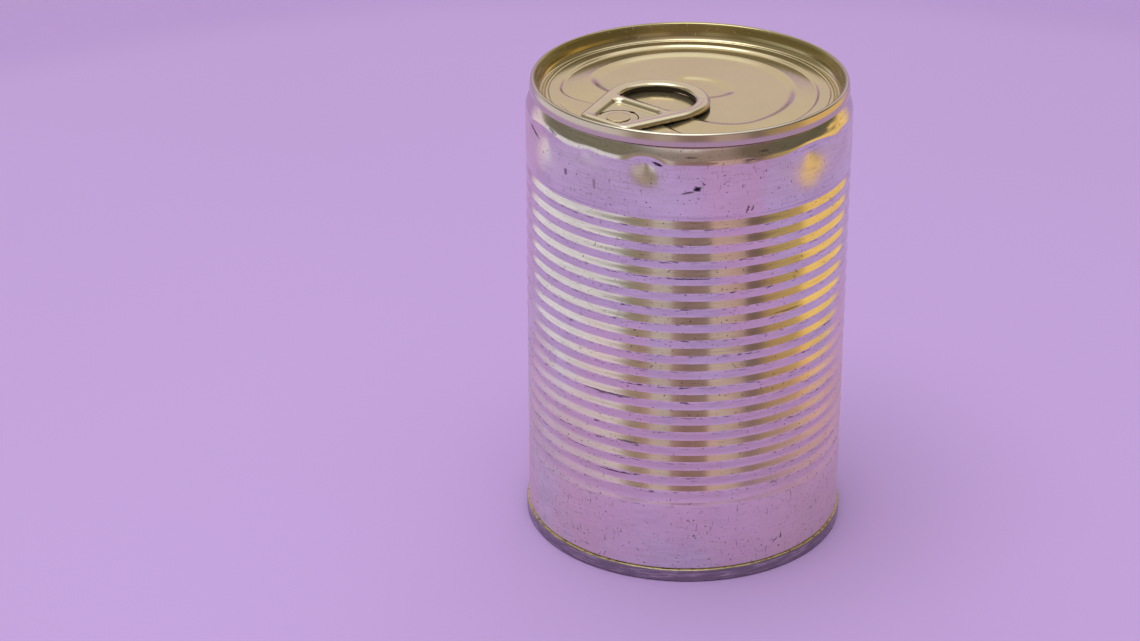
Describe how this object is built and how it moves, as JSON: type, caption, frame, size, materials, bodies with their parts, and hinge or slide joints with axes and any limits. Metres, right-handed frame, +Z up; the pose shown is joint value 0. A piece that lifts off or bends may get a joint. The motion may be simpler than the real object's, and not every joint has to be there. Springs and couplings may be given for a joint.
{
  "type": "food can",
  "caption": "Closed tinplate food can: ridged round body with small dents, seamed ends, full-opening lid and ring pull.",
  "frame": {"origin": "middle of the can's foot, on the surface that it stands on", "axes": "+Z up the can; +Y away from the side that the picture shows; the ring pull points from the can's axis to the front left, at -X and -Y"},
  "size_m": [0.0752, 0.0752, 0.1103],
  "materials": {
    "tinplate": "bright tinplate with fine scuffs",
    "gold_lacquer": "pale gold lacquer over tinplate, satin",
    "pull_lacquer": "pale gold lacquer over steel, bright on its rolled edges",
    "foot_tinplate": "lacquered tinplate, worn along the seam"
  },
  "bodies": {
    "root": {"can_body": "tinplate", "top_end": "gold_lacquer", "pull_tab": "pull_lacquer", "bottom_end": "foot_tinplate"}
  },
  "joints": []
}
